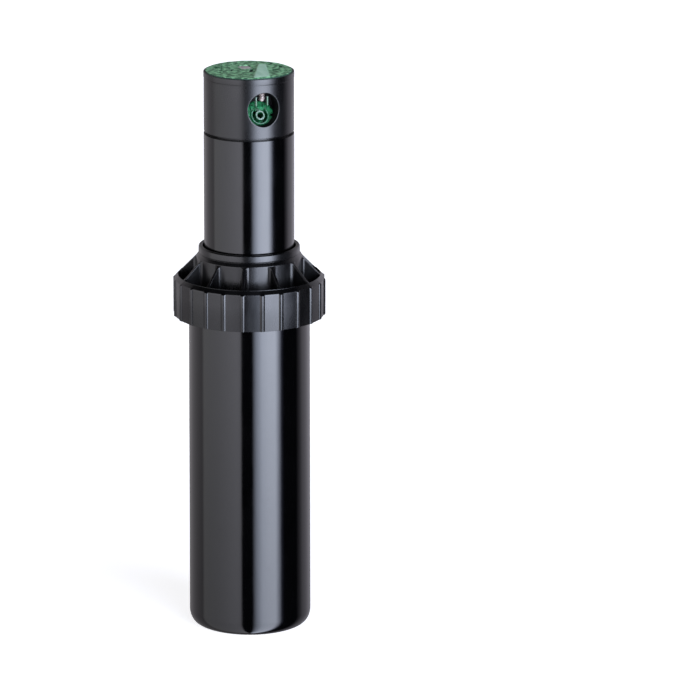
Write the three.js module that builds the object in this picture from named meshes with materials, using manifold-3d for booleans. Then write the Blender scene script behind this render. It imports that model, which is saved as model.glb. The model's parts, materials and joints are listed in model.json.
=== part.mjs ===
// Pop up sprinkler: a gear driven rotor with a 3/4 inch inlet, drawn with its riser up.
// Millimetres, +Z up, origin at the middle of the base. The nozzle faces -Y.
import * as THREE from 'three';
import { mergeVertices } from 'three/addons/utils/BufferGeometryUtils.js';
import Module from 'manifold-3d';

const wasm = await Module();
wasm.setup();

// ---- driving dimensions -------------------------------------------------------------
const TURN = Math.PI * 2;
const GAP = 0.3; // running gap between neighbouring pieces
const ROUND = 28; // sides of the large turned pieces
const CAP_ROUND = 48; // sides of the cap, two for each ridge
const SMALL_ROUND = 12; // sides of the small turned pieces

const CASE_TOP_R = 30.15;
const CASE_FOOT_R = 30.5;
const CASE_BORE_R = 27;
const CASE_TOP_Z = 170.4;
const CASE_NECK_Z = 160.4; // the threaded neck starts here
const CASE_FLOOR_Z = 3.2;
const CASE_FOOT_ROUND = 6.5; // height of the rounded foot
const CASE_FOOT_INSET = 3.8;
const NECK_ROOT_R = 32.3;
const NECK_CREST_R = 33.3;
const THREAD_PITCH = 4.4;
const NECK_THREADS = 2;
const INLET_R = 12.6;
const INLET_CREST_R = 11.9;
const INLET_THREADS = 4;
const INLET_THREAD_PITCH = 3.6;
const BOSS_R = 16.5;
const BOSS_TOP_Z = 20;
const KEY_RIBS = 4; // ribs that stop the riser from turning in the case
const KEY_RIB_WIDTH = 2.4;
const KEY_RIB_DEPTH = 1;
const SEAL_R = 26; // outside of the wiper seal
const RETAINER_R = 26.5;
const RETAINER_THICK = 3;
const CAP_SEAL_R = 29.7;
const CAP_SEAL_WIRE_R = 1;

const CAP_R = 37.4;
const CAP_RIDGE_R = 38.1;
const CAP_FOOT_Z = 159.5;
const CAP_RIM_Z = 178.4;
const CAP_RIM_WIDTH = 2;
const CAP_POCKET_Z = 175.4;
const CAP_CEILING_Z = 173.2;
const CAP_SKIRT_BORE_R = 34.2;
const CAP_THREAD_CREST_R = 32.9;
const HUB_R = 26.3;
const HUB_BEAD_R = 25.3;
const HUB_SHOULDER_Z = 189.5; // top of the hub's wall, under the bead
const BEAD_FOOT_Z = 190.8;
const HUB_TOP_Z = 195;
const HUB_BORE_R = 23.1;
const GUSSETS = 12;
const GUSSET_WIDTH = 1.3;
const CAP_TURN = THREE.MathUtils.degToRad(4.8); // how far the cap is screwed round
const CAP_RIDGES = 24;
const RIDGE_WIDTH = 2.8;

const RISER_R = 22.4;
const RISER_BORE_R = 20;
const RISER_FOOT_Z = 120;
const RISER_FLANGE_Z = 126;
const RISER_FLANGE_R = 26.4;
const RISER_TOP_Z = 251.9;

const FILTER_BARS = 12;
const FILTER_BAR = 1.4; // width of each upright bar
const FILTER_R = 17; // outside of the basket
const FILTER_BORE_R = 15.4;
const FILTER_LONG = 30;

const SPRING_WIRE_R = 0.9;
const SPRING_R = 24.5;
const SPRING_COILS = 10;
const SPRING_TOP_Z = 164.5;

const TURRET_R = 22.3;
const TURRET_BAND_R = 22.45;
const TURRET_FOOT_Z = 253.1;
const TURRET_RIM_Z = 283.5;
const TURRET_BAND_Z = 280.2; // moulding line under the top band
const TURRET_RECESS_Z = 281.2;
const COVER_R = 21.6;
const COVER_TOP_Z = 284;
const POINTER_ANGLE = THREE.MathUtils.degToRad(70); // from +X towards the pointer's far end
const POINTER_OFFSET = 6.5; // how far the pointer lies beside the middle
const POINTER_LONG = 16.5; // reach of its wide front end
const POINTER_FAR = 11;
const POINTER_FRONT = 4; // half widths at the two ends
const POINTER_BACK = 2.1;
const STEM_R = 8.2;
const STEM_BORE_R = 6.4;
const STEM_TOP_Z = TURRET_FOOT_Z + 1.3;
const WINDOW_R = 8.65;
const WINDOW_Z = 267.6;
const WINDOW_FLOOR_Y = -13.4;
const NOZZLE_TILT = THREE.MathUtils.degToRad(25); // upward throw of the nozzle
const NOZZLE_FACE = [0, -17.5, 264.6]; // middle of the orifice
const NOZZLE_FLANGE_R = 6.8;
const NOZZLE_BODY_R = 6;
const EAR_X = 2.75; // the nozzle's two ears stand either side of the screw
const EAR_Y = -18.6;
const EAR_Z = 270.7;
const SCREW_Y = -19.2;
const SCREW_R = 1.25;
const SCREW_TIP_Z = 271.4;
const SCREW_TURNS = 6;
const SCREW_PITCH = 1.2;
const SCREW_SOCKET = [0.7, 3, 1.6];
const NOZZLE_SIDES = 24;
const ORIFICE_R = 1.4;
const NOZZLE_DEEP = 10;
const BARREL_DEEP = 16; // the turret's barrel runs on into the water way
const EAR = [1, 2, 6.2];
const SHOULDER = [2.6, 3.4, 2.4]; // carries each ear out from the flange
const KEY_SLOT = [2.2, 6.4, 3]; // slit in the cover over the arc adjuster
const PULL_SLOT = [6.4, 2.6, 3]; // slit in the cover for pulling the riser up
const PULL_SLOT_Y = 11.5;
const PULL_POCKET = [18, 7, 14]; // room in the turret under the pull slit

const GEAR_MODULE = 0.5;
const PINION_TEETH = 8;
const WHEEL_TEETH = 24;
const GEAR_CENTRES = (GEAR_MODULE * (PINION_TEETH + WHEEL_TEETH)) / 2;
const LAYER_Z = 179; // foot of the lowest wheel
const LAYER_PITCH = 4.5;
const WHEEL_THICK = 2.8;
const POST_A_ANGLE = 0;
const POST_B_ANGLE = Math.PI / 3;
const POST_R = 0.6;
const GEARBOX_R = 16.5;
const GEARBOX_BORE_R = 15.3;
const GEARBOX_FOOT_Z = 175.4;
const GEARBOX_TOP_Z = 198.4;

const RING_MODULE = 0.8;
const RING_TEETH = 40;
const RING_PINION_TEETH = 8;
const RING_FOOT_Z = 250.3;
const RING_THICK = 3;
const TAB_FOOT_Z = 248;
const RING_BORE_R = 12;
const RING_R = 19.3;
const RING_TAB = [2.2, 3, 3.4];
const RING_TAB_AT = 17.9;
const RING_TAB_TURN = -60; // degrees
const TURRET_TAB = [3, 1.4];
const ADJUSTER_SHAFT_R = 1.9;
const ADJUSTER_SOCKET = [0.9, 2.6, 4];

const ROD_R = 1.1;
const ROD_Y = 18.15;
const LEVER_Z = 245.2;
const LEVER_THICK = 2.2;
const SELECTOR_Z = 154.8;
const PORT_WAY = [3.2, 6, 8]; // slot that lets the selector rod through a disc

const STATOR_Z = 157.4;
const STATOR_THICK = 3;
const STATOR_JETS = 8;
const STATOR_JET = [4.6, 1.8, 12]; // slanted slot that throws water at the blades
const STATOR_JET_R = 13;
const JET_SLANT = 40; // degrees
const STATOR_STEM_R = 3; // the tube that carries the bypass spring
const STATOR_STEM_TOP_Z = STATOR_Z + 10.4;
const BYPASS_PORTS = 4;
const BYPASS_PORT_R = 1.3;
const BYPASS_PORT_AT = 5.8;
const BYPASS_DISC_R = 8.6;
const BYPASS_SPRING_R = 4.4;
const BYPASS_WIRE_R = 0.3;
const TURBINE_Z = STATOR_Z + 11;
const TURBINE_BLADES = 14;
const TURBINE_BLADE = [8.4, 0.9, 6.4];
const TURBINE_BLADE_R = 12;
const BLADE_SLANT = -38; // degrees
const TURBINE_HUB_R = 4.2;
const TURBINE_SHAFT_R = 0.7;
const SHAFT_WAY_R = 1.3; // opening for the turbine shaft
const OUTPUT_SHAFT_R = 3.1;

const BEARING_Z = 240.1; // foot of the bearing that the turret's stem turns in
const BEARING_THICK = 4;
const BEARING_SHELF = 1.8; // thickness under the stem's seal
const SEAL_POCKET_R = STEM_R + 3.4;
const STEM_COLLAR_R = 11.4; // holds the turret down under the bearing
const STEM_FOOT_Z = GEARBOX_TOP_Z + 1.2;
const STEM_SOCKET_R = 3.4; // takes the output shaft
const STEM_SOCKET_DEEP = 8;
const STEM_OPENING = [8, 30, 18]; // lets water from round the gearbox into the stem
const ADJUSTER_R = (RING_MODULE * (RING_TEETH - RING_PINION_TEETH)) / 2;
const ADJUSTER_ANGLE = Math.PI * 0.75;
const RECESS_TOP_Z = RING_FOOT_Z + RING_THICK + 0.5;

// ---- looks --------------------------------------------------------------------------
function finish(color, roughness, metalness) {
  return new THREE.MeshStandardMaterial({ color, roughness, metalness });
}

const BLACK_PLASTIC = finish(0x17181a, 0.32, 0);
const GREEN_NOZZLE = finish(0x1f9d5c, 0.4, 0);
const GREEN_RUBBER = finish(0x5e8f78, 0.7, 0);
const BLACK_RUBBER = finish(0x101112, 0.8, 0);
const WHITE_PLASTIC = finish(0xe2e0d8, 0.5, 0);
const GREY_PLASTIC = finish(0x8b9096, 0.5, 0);
const STEEL = finish(0xb9bcc0, 0.3, 1);

const group = new THREE.Group();

// ---- helpers ------------------------------------------------------------------------
function signedVolume(position, index) {
  const a = new THREE.Vector3();
  const b = new THREE.Vector3();
  const c = new THREE.Vector3();
  let sum = 0;
  for (let i = 0; i < index.length; i += 3) {
    a.fromBufferAttribute(position, index[i]);
    b.fromBufferAttribute(position, index[i + 1]);
    c.fromBufferAttribute(position, index[i + 2]);
    sum += a.dot(b.cross(c));
  }
  return sum;
}

// A closed three.js geometry as a solid that can be cut and joined.
function solid(geometry) {
  const bare = geometry.clone();
  bare.deleteAttribute('normal');
  bare.deleteAttribute('uv');
  const merged = mergeVertices(bare, 1e-4);
  const all = Array.from(merged.index.array);
  const kept = [];
  for (let i = 0; i < all.length; i += 3) {
    const [a, b, c] = all.slice(i, i + 3);
    if (a !== b && b !== c && c !== a) kept.push(a, b, c);
  }
  const position = merged.attributes.position;
  if (signedVolume(position, kept) < 0) kept.reverse();
  const vertProperties = new Float32Array(position.array);
  const triVerts = new Uint32Array(kept);
  return new wasm.Manifold(new wasm.Mesh({ numProp: 3, vertProperties, triVerts }));
}

// Put a named piece in the group.
function place(name, piece, material) {
  const mesh = piece.getMesh();
  const geometry = new THREE.BufferGeometry();
  geometry.setAttribute('position', new THREE.BufferAttribute(new Float32Array(mesh.vertProperties), 3));
  geometry.setIndex(Array.from(mesh.triVerts));
  geometry.computeVertexNormals();
  const part = new THREE.Mesh(geometry, material);
  part.name = name;
  group.add(part);
}

// A profile of [radius, height] points turned round +Z.
// It closes on itself unless both ends are on the axis.
function turned(profile, sides = ROUND) {
  const points = profile.map(([r, z]) => new THREE.Vector2(r, z));
  const onAxis = profile[0][0] === 0 && profile.at(-1)[0] === 0;
  if (!onAxis) points.push(points[0].clone());
  return solid(new THREE.LatheGeometry(points, sides).rotateX(Math.PI / 2));
}

function ring(inner, outer, low, high, sides = ROUND) {
  return turned([[inner, low], [outer, low], [outer, high], [inner, high]], sides);
}

function rod(radius, low, high, x = 0, y = 0, sides = SMALL_ROUND) {
  const profile = [[0, low], [radius, low], [radius, high], [0, high]];
  return turned(profile, sides).translate([x, y, 0]);
}

// A box given by its middle and its size.
function block(size, middle) {
  return solid(new THREE.BoxGeometry(...size).translate(...middle));
}

// An outline of [x, y] points raised from one height to another.
function plate(outline, low, high) {
  const shape = new THREE.Shape(outline.map(([x, y]) => new THREE.Vector2(x, y)));
  const settings = { depth: high - low, bevelEnabled: false };
  return solid(new THREE.ExtrudeGeometry(shape, settings).translate(0, 0, low));
}

// A wire of round section along a curve.
function wire(curve, radius, steps, sides) {
  const section = new THREE.Shape();
  for (let i = 0; i < sides; i += 1) {
    const angle = (i / sides) * TURN;
    const x = radius * Math.cos(angle);
    const y = radius * Math.sin(angle);
    if (i === 0) section.moveTo(x, y);
    else section.lineTo(x, y);
  }
  section.closePath();
  const settings = { steps, extrudePath: curve, bevelEnabled: false };
  return solid(new THREE.ExtrudeGeometry(section, settings));
}

// Copies of a piece set evenly round +Z.
function around(piece, count, start = 0) {
  const degrees = (angle) => THREE.MathUtils.radToDeg(angle);
  const copies = [];
  for (let i = 0; i < count; i += 1) {
    copies.push(piece.rotate([0, 0, degrees(start + (i / count) * TURN)]));
  }
  return copies;
}

function joined(pieces) {
  return pieces.reduce((whole, piece) => whole.add(piece));
}

function cutBy(whole, cutters) {
  return cutters.reduce((left, cutter) => left.subtract(cutter), whole);
}

// Outline of a spur gear. A tooth stands at the angle "start".
function gearOutline(teeth, module, start, thickness = 0.36, reach = 0.75, depth = 1.1) {
  const pitchR = (teeth * module) / 2;
  const pitchAngle = TURN / teeth;
  const outline = [];
  const steps = [
    [-0.5 * thickness - 0.13, pitchR - depth * module],
    [-0.5 * thickness + 0.11, pitchR + reach * module],
    [0.5 * thickness - 0.11, pitchR + reach * module],
    [0.5 * thickness + 0.13, pitchR - depth * module],
  ];
  for (let i = 0; i < teeth; i += 1) {
    for (const [share, r] of steps) {
      const angle = start + (i + share) * pitchAngle;
      outline.push([r * Math.cos(angle), r * Math.sin(angle)]);
    }
  }
  return outline;
}

function at(piece, x, y) {
  return piece.translate([x, y, 0]);
}

// The middle line of a coil spring of even pitch.
class Coil extends THREE.Curve {
  constructor(radius, low, high, turns) {
    super();
    Object.assign(this, { radius, low, high, turns });
  }

  getPoint(t, target = new THREE.Vector3()) {
    const angle = t * this.turns * TURN;
    const z = this.low + (this.high - this.low) * t;
    return target.set(this.radius * Math.cos(angle), this.radius * Math.sin(angle), z);
  }
}

// ---- case ---------------------------------------------------------------------------
function makeCase() {
  const foot = [];
  for (let i = 0; i <= 3; i += 1) {
    const angle = (i / 3) * (Math.PI / 2);
    const r = CASE_FOOT_R - CASE_FOOT_INSET + CASE_FOOT_INSET * Math.sin(angle);
    const z = CASE_FOOT_ROUND - CASE_FOOT_ROUND * Math.cos(angle);
    foot.push([r, z]);
  }
  const profile = [
    [INLET_R, 0],
    ...foot,
    [CASE_TOP_R, CASE_NECK_Z - 0.2],
    [NECK_ROOT_R, CASE_NECK_Z],
  ];
  for (let i = 0; i < NECK_THREADS; i += 1) {
    const z = CASE_NECK_Z + 1 + i * THREAD_PITCH;
    profile.push([NECK_ROOT_R, z]);
    profile.push([NECK_CREST_R, z + 0.9]);
    profile.push([NECK_ROOT_R, z + 1.8]);
  }
  profile.push([NECK_ROOT_R, CASE_TOP_Z]);
  profile.push([CASE_BORE_R, CASE_TOP_Z]);
  profile.push([CASE_BORE_R, CASE_FLOOR_Z + 2]);
  profile.push([CASE_BORE_R - 2, CASE_FLOOR_Z]);
  profile.push([BOSS_R + 1, CASE_FLOOR_Z]);
  profile.push([BOSS_R, CASE_FLOOR_Z + 1]);
  profile.push([BOSS_R - 1, BOSS_TOP_Z]);
  profile.push([INLET_R, BOSS_TOP_Z]);
  for (let i = INLET_THREADS; i > 0; i -= 1) {
    const z = i * INLET_THREAD_PITCH;
    profile.push([INLET_R, z + 0.9]);
    profile.push([INLET_CREST_R, z]);
    profile.push([INLET_R, z - 0.9]);
  }
  const body = turned(profile);
  const ribLow = CASE_FLOOR_Z + 2;
  const ribHigh = CASE_TOP_Z - 8;
  const rib = block(
    [KEY_RIB_DEPTH + 0.6, KEY_RIB_WIDTH, ribHigh - ribLow],
    [CASE_BORE_R - KEY_RIB_DEPTH / 2 + 0.3, 0, (ribLow + ribHigh) / 2],
  );
  return joined([body, ...around(rib, KEY_RIBS)]);
}

function makeCap() {
  const body = turned([
    [HUB_BORE_R, CAP_CEILING_Z],
    [CAP_SKIRT_BORE_R - 1.3, CAP_CEILING_Z],
    [CAP_SKIRT_BORE_R, CAP_CEILING_Z - 1.4],
    [CAP_SKIRT_BORE_R, CAP_FOOT_Z],
    [CAP_R, CAP_FOOT_Z],
    [CAP_R, CAP_RIM_Z - 0.4],
    [CAP_R - 0.2, CAP_RIM_Z],
    [CAP_R - CAP_RIM_WIDTH, CAP_RIM_Z + CAP_RIM_WIDTH - 0.2],
    [CAP_R - CAP_RIM_WIDTH - 0.4, CAP_POCKET_Z],
    [HUB_R, CAP_POCKET_Z],
    [HUB_R, HUB_SHOULDER_Z],
    [HUB_BEAD_R - 0.3, BEAD_FOOT_Z],
    [HUB_BEAD_R, BEAD_FOOT_Z + 0.5],
    [HUB_BEAD_R, HUB_TOP_Z - 2.4],
    [HUB_BEAD_R - 0.7, HUB_TOP_Z - 0.7],
    [HUB_BEAD_R - 1.5, HUB_TOP_Z],
    [HUB_BORE_R, HUB_TOP_Z],
  ], CAP_ROUND);
  const side = new THREE.Shape();
  side.moveTo(HUB_R - 0.4, CAP_POCKET_Z - 0.5);
  side.lineTo(CAP_R - 1, CAP_POCKET_Z - 0.5);
  side.lineTo(CAP_R - 1, CAP_RIM_Z + 0.7);
  side.lineTo(HUB_R + 0.1, HUB_SHOULDER_Z + 0.1);
  side.lineTo(HUB_R - 0.4, HUB_SHOULDER_Z + 0.1);
  side.closePath();
  const settings = { depth: GUSSET_WIDTH, bevelEnabled: false };
  const shape = new THREE.ExtrudeGeometry(side, settings);
  const gusset = solid(shape.translate(0, 0, -GUSSET_WIDTH / 2).rotateX(Math.PI / 2));
  const half = RIDGE_WIDTH / 2;
  const ridge = plate(
    [[CAP_R - 1, -half], [CAP_R - 0.1, -half], [CAP_RIDGE_R, -0.4],
      [CAP_RIDGE_R, 0.4], [CAP_R - 0.1, half], [CAP_R - 1, half]],
    CAP_FOOT_Z + 0.6,
    CAP_RIM_Z - 0.4,
  );
  const front = -Math.PI / 2 + CAP_TURN;
  const threadZ = CASE_NECK_Z + 1 + THREAD_PITCH - 1.3;
  const thread = turned([
    [CAP_SKIRT_BORE_R + 0.4, threadZ - 0.9],
    [CAP_SKIRT_BORE_R + 0.4, threadZ + 0.9],
    [CAP_THREAD_CREST_R, threadZ],
  ], ROUND);
  return joined([
    body.rotate([0, 0, THREE.MathUtils.radToDeg(CAP_TURN)]),
    thread,
    ...around(gusset, GUSSETS, front),
    ...around(ridge, CAP_RIDGES, front),
  ]);
}

place('body_case', makeCase(), BLACK_PLASTIC);
place('body_cap', makeCap(), BLACK_PLASTIC);

place('wiper_seal', turned([
  [RISER_R + GAP, CAP_CEILING_Z - 2.4],
  [RISER_R + 1.4, CAP_CEILING_Z - 4.4],
  [SEAL_R, CAP_CEILING_Z - 4.4],
  [SEAL_R, CAP_CEILING_Z - GAP],
  [RISER_R + 1.6, CAP_CEILING_Z - GAP],
  [RISER_R + 0.9, CAP_CEILING_Z - 1.4],
]), BLACK_RUBBER);

const retainerLow = SPRING_TOP_Z + 0.9;
place('seal_retainer', turned([
  [RISER_R + 0.6, retainerLow],
  [RETAINER_R, retainerLow],
  [RETAINER_R, retainerLow + RETAINER_THICK - 1.4],
  [RETAINER_R - 0.3, retainerLow + RETAINER_THICK],
  [RISER_R + 0.6, retainerLow + RETAINER_THICK],
]), WHITE_PLASTIC);

const sealRing = new THREE.TorusGeometry(CAP_SEAL_R, CAP_SEAL_WIRE_R, 6, ROUND);
place('cap_seal_ring', solid(sealRing.translate(0, 0, CASE_TOP_Z + 1.4)), BLACK_RUBBER);

// ---- riser --------------------------------------------------------------------------
function makeRiser() {
  const body = turned([
    [RISER_BORE_R, RISER_FOOT_Z],
    [RISER_FLANGE_R - 0.6, RISER_FOOT_Z],
    [RISER_FLANGE_R, RISER_FOOT_Z + 0.6],
    [RISER_FLANGE_R, RISER_FLANGE_Z],
    [RISER_R, RISER_FLANGE_Z],
    [RISER_R, RISER_TOP_Z - 0.4],
    [RISER_R - 0.4, RISER_TOP_Z],
    [RISER_BORE_R, RISER_TOP_Z],
  ]);
  const slot = block([4, KEY_RIB_WIDTH + 1, 20], [RISER_FLANGE_R - 1 + 2, 0, RISER_FOOT_Z]);
  return cutBy(body, around(slot, KEY_RIBS));
}
place('riser_tube', makeRiser(), BLACK_PLASTIC);

const springLow = RISER_FLANGE_Z + GAP + SPRING_WIRE_R;
const springCurve = new Coil(SPRING_R, springLow, SPRING_TOP_Z - SPRING_WIRE_R, SPRING_COILS);
place('retraction_spring', wire(springCurve, SPRING_WIRE_R, SPRING_COILS * 10, 5), STEEL);

function makeFilter() {
  const foot = RISER_FOOT_Z + 1;
  const top = foot + FILTER_LONG;
  const middle = (foot + top) / 2;
  const rim = ring(FILTER_BORE_R, RISER_BORE_R - GAP, top - 2, top, NOZZLE_SIDES);
  const band = ring(FILTER_BORE_R, FILTER_R, middle - 0.8, middle + 0.8, NOZZLE_SIDES);
  const base = turned([
    [0, foot],
    [FILTER_R - 0.6, foot],
    [FILTER_R, foot + 0.6],
    [FILTER_R, foot + 2],
    [0, foot + 2],
  ], NOZZLE_SIDES);
  const bar = block([FILTER_BAR, FILTER_BAR, FILTER_LONG - 2], [FILTER_R - 0.8, 0, middle]);
  return joined([rim, band, base, ...around(bar, FILTER_BARS)]);
}
place('filter_screen', makeFilter(), WHITE_PLASTIC);

function makeStator() {
  const disc = turned([
    [SHAFT_WAY_R, STATOR_Z],
    [RISER_BORE_R - GAP, STATOR_Z],
    [RISER_BORE_R - GAP, STATOR_Z + STATOR_THICK],
    [STATOR_STEM_R, STATOR_Z + STATOR_THICK],
    [STATOR_STEM_R, STATOR_STEM_TOP_Z],
    [SHAFT_WAY_R, STATOR_STEM_TOP_Z],
  ]);
  const middle = STATOR_Z + STATOR_THICK / 2;
  const jet = block(STATOR_JET, [0, 0, 0])
    .rotate([JET_SLANT, 0, 0])
    .translate([STATOR_JET_R, 0, middle]);
  const port = rod(BYPASS_PORT_R, STATOR_Z - 1, STATOR_Z + 5, BYPASS_PORT_AT, 0, 8);
  const rodWay = block(PORT_WAY, [0, ROD_Y + 1.3, middle]);
  const jets = around(jet, STATOR_JETS, Math.PI / STATOR_JETS);
  return cutBy(disc, [...jets, ...around(port, BYPASS_PORTS), rodWay]);
}
place('stator', makeStator(), WHITE_PLASTIC);

const bypassLow = STATOR_Z + STATOR_THICK + GAP;
const bypassDisc = ring(STATOR_STEM_R + 0.4, BYPASS_DISC_R, bypassLow, bypassLow + 1, 20);
place('bypass_disc', bypassDisc, BLACK_RUBBER);
const bypassCurve = new Coil(BYPASS_SPRING_R, bypassLow + 1.6, bypassLow + 4.7, 3);
place('bypass_spring', wire(bypassCurve, BYPASS_WIRE_R, 24, 4), STEEL);
const keeper = ring(STATOR_STEM_R + GAP, 5.2, bypassLow + 5.3, bypassLow + 6.1);
place('bypass_keeper', keeper, STEEL);

// ---- turbine and gearbox ------------------------------------------------------------
function makeTurbine() {
  const hub = ring(TURBINE_SHAFT_R + 0.65, TURBINE_HUB_R, TURBINE_Z, TURBINE_Z + 4.6, SMALL_ROUND);
  const web = ring(TURBINE_HUB_R - 0.2, 8.6, TURBINE_Z + 1.4, TURBINE_Z + 3.2, SMALL_ROUND);
  const blade = block(TURBINE_BLADE, [0, 0, 0])
    .rotate([BLADE_SLANT, 0, 0])
    .translate([TURBINE_BLADE_R, 0, TURBINE_Z + 2.3]);
  return joined([hub, web, ...around(blade, TURBINE_BLADES)]);
}
place('turbine_rotor', makeTurbine(), WHITE_PLASTIC);
place('turbine_shaft', rod(TURBINE_SHAFT_R, STATOR_Z + 2, LAYER_Z + 4), STEEL);

const polar = (radius, angle) => [radius * Math.cos(angle), radius * Math.sin(angle)];
const postA = polar(GEAR_CENTRES, POST_A_ANGLE);
const postB = polar(GEAR_CENTRES, POST_B_ANGLE);
const layer = (index) => LAYER_Z + index * LAYER_PITCH;

// A pinion tooth points at the wheel; the wheel has a space there.
const WHEEL_HALF_PITCH = Math.PI / WHEEL_TEETH;
function pinion(towards, low, high) {
  return plate(gearOutline(PINION_TEETH, GEAR_MODULE, towards), low, high);
}
function wheel(towards, low) {
  const outline = gearOutline(WHEEL_TEETH, GEAR_MODULE, towards + WHEEL_HALF_PITCH);
  return plate(outline, low, low + WHEEL_THICK);
}

const angleBetween = (from, to) => Math.atan2(to[1] - from[1], to[0] - from[0]);
const centre = [0, 0];

const drivePinion = pinion(angleBetween(centre, postA), LAYER_Z - 0.2, LAYER_Z + WHEEL_THICK + 0.4);
const shaftBore = rod(TURBINE_SHAFT_R + 0.2, LAYER_Z - 5, LAYER_Z + 8);
place('turbine_pinion', drivePinion.subtract(shaftBore), GREY_PLASTIC);

function compoundGear(here, from, to, index) {
  const low = layer(index);
  const big = wheel(angleBetween(here, from), low);
  const pinionLow = low + WHEEL_THICK - 0.2;
  const little = pinion(angleBetween(here, to), pinionLow, pinionLow + LAYER_PITCH + 0.4);
  const bore = rod(POST_R + 0.25, low - 1, low + 12);
  return at(big.add(little).subtract(bore), ...here);
}
place('gear_1', compoundGear(postA, centre, postB, 0), GREY_PLASTIC);
place('gear_2', compoundGear(postB, postA, postA, 1), GREY_PLASTIC);
place('gear_3', compoundGear(postA, postB, centre, 2), GREY_PLASTIC);

const POST_LOW_Z = GEARBOX_FOOT_Z + 0.7;
const POST_HIGH_Z = GEARBOX_TOP_Z - 0.4;
place('gear_post_a', rod(POST_R, POST_LOW_Z, POST_HIGH_Z, ...postA), STEEL);
place('gear_post_b', rod(POST_R, POST_LOW_Z, POST_HIGH_Z, ...postB), STEEL);

function makeGearbox() {
  const shell = turned([
    [2.6, GEARBOX_FOOT_Z],
    [GEARBOX_R - 1, GEARBOX_FOOT_Z],
    [GEARBOX_R, GEARBOX_FOOT_Z + 1],
    [GEARBOX_R, GEARBOX_TOP_Z - 2],
    [GEARBOX_BORE_R, GEARBOX_TOP_Z - 2],
    [GEARBOX_BORE_R, GEARBOX_FOOT_Z + 2],
    [2.6, GEARBOX_FOOT_Z + 2],
  ]);
  const lugReach = RISER_BORE_R - GAP - (GEARBOX_R - 0.5);
  const lug = block([lugReach, 3, 5], [GEARBOX_R - 0.5 + lugReach / 2, 0, GEARBOX_FOOT_Z + 5]);
  const socket = (post) => rod(POST_R + GAP, GEARBOX_FOOT_Z + 0.4, LAYER_Z, ...post);
  return cutBy(joined([shell, ...around(lug, 3, Math.PI)]), [postA, postB].map(socket));
}

function makeGearboxCover() {
  const disc = turned([
    [OUTPUT_SHAFT_R + 0.4, GEARBOX_TOP_Z - 1.7],
    [GEARBOX_R, GEARBOX_TOP_Z - 1.7],
    [GEARBOX_R, GEARBOX_TOP_Z],
    [OUTPUT_SHAFT_R + 0.4, GEARBOX_TOP_Z],
  ]);
  const socket = (post) => rod(POST_R + GAP, GEARBOX_TOP_Z - 3, GEARBOX_TOP_Z - 0.1, ...post);
  return cutBy(disc, [postA, postB].map(socket));
}
place('gearbox_housing', makeGearbox(), GREY_PLASTIC);
place('gearbox_cover', makeGearboxCover(), GREY_PLASTIC);
const shaftSeal = ring(SHAFT_WAY_R, 2.3, GEARBOX_FOOT_Z + 0.2, GEARBOX_FOOT_Z + 1.8, SMALL_ROUND);
place('shaft_seal', shaftSeal, BLACK_RUBBER);

const OUTPUT_Z = layer(3);
const outputShaft = rod(OUTPUT_SHAFT_R, OUTPUT_Z + 1, GEARBOX_TOP_Z + 7);
const outputWheel = wheel(angleBetween(centre, postA), OUTPUT_Z);
place('output_gear', outputWheel.add(outputShaft), GREY_PLASTIC);

// ---- riser head: bearing, stem and seals --------------------------------------------
function makeBearing() {
  const web = turned([
    [STEM_R + 0.4, BEARING_Z],
    [RISER_BORE_R - GAP, BEARING_Z],
    [RISER_BORE_R - GAP, BEARING_Z + BEARING_THICK],
    [SEAL_POCKET_R, BEARING_Z + BEARING_THICK],
    [SEAL_POCKET_R, BEARING_Z + BEARING_SHELF],
    [STEM_R + 0.4, BEARING_Z + BEARING_SHELF],
  ]);
  return web.subtract(block(PORT_WAY, [0, ROD_Y + 1.3, BEARING_Z + BEARING_THICK / 2]));
}
place('turret_bearing', makeBearing(), WHITE_PLASTIC);
const stemRing = new THREE.TorusGeometry(STEM_R + 1.6, 1, 6, 20);
place('stem_seal', solid(stemRing.translate(0, 0, BEARING_Z + BEARING_SHELF + 1.3)), BLACK_RUBBER);
const washer = ring(STEM_R + GAP, STEM_COLLAR_R + 0.2, BEARING_Z - 1.1, BEARING_Z - GAP, 20);
place('thrust_washer', washer, STEEL);

function makeStem() {
  const socketTop = STEM_FOOT_Z + STEM_SOCKET_DEEP;
  const tube = turned([
    [STEM_SOCKET_R, STEM_FOOT_Z],
    [STEM_R, STEM_FOOT_Z],
    [STEM_R, BEARING_Z - 4.4],
    [STEM_COLLAR_R, BEARING_Z - 3.6],
    [STEM_COLLAR_R, BEARING_Z - 1.4],
    [STEM_R, BEARING_Z - 1.4],
    [STEM_R, STEM_TOP_Z],
    [STEM_BORE_R, STEM_TOP_Z],
    [STEM_BORE_R, socketTop],
    [STEM_SOCKET_R, socketTop],
  ]);
  const opening = block(STEM_OPENING, [0, 0, STEM_FOOT_Z + 20]);
  return cutBy(tube, [opening, opening.rotate([0, 0, 90])]);
}
place('turret_stem', makeStem(), WHITE_PLASTIC);

// ---- turret -------------------------------------------------------------------------
// The turret's own trip tab hangs inside the arc ring, clear of the trip lever.
function turretTab() {
  const height = RECESS_TOP_Z + 1 - TAB_FOOT_Z;
  return block([...TURRET_TAB, height], [0, -(STEM_R + 2.2), TAB_FOOT_Z + height / 2]);
}

// Turn a piece drawn along +Z to the nozzle's direction and put it at the orifice.
function alongNozzle(piece) {
  const tilt = 90 - THREE.MathUtils.radToDeg(NOZZLE_TILT);
  return piece.rotate([tilt, 0, 0]).translate(NOZZLE_FACE);
}

const adjusterAt = polar(ADJUSTER_R, ADJUSTER_ANGLE);

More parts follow.
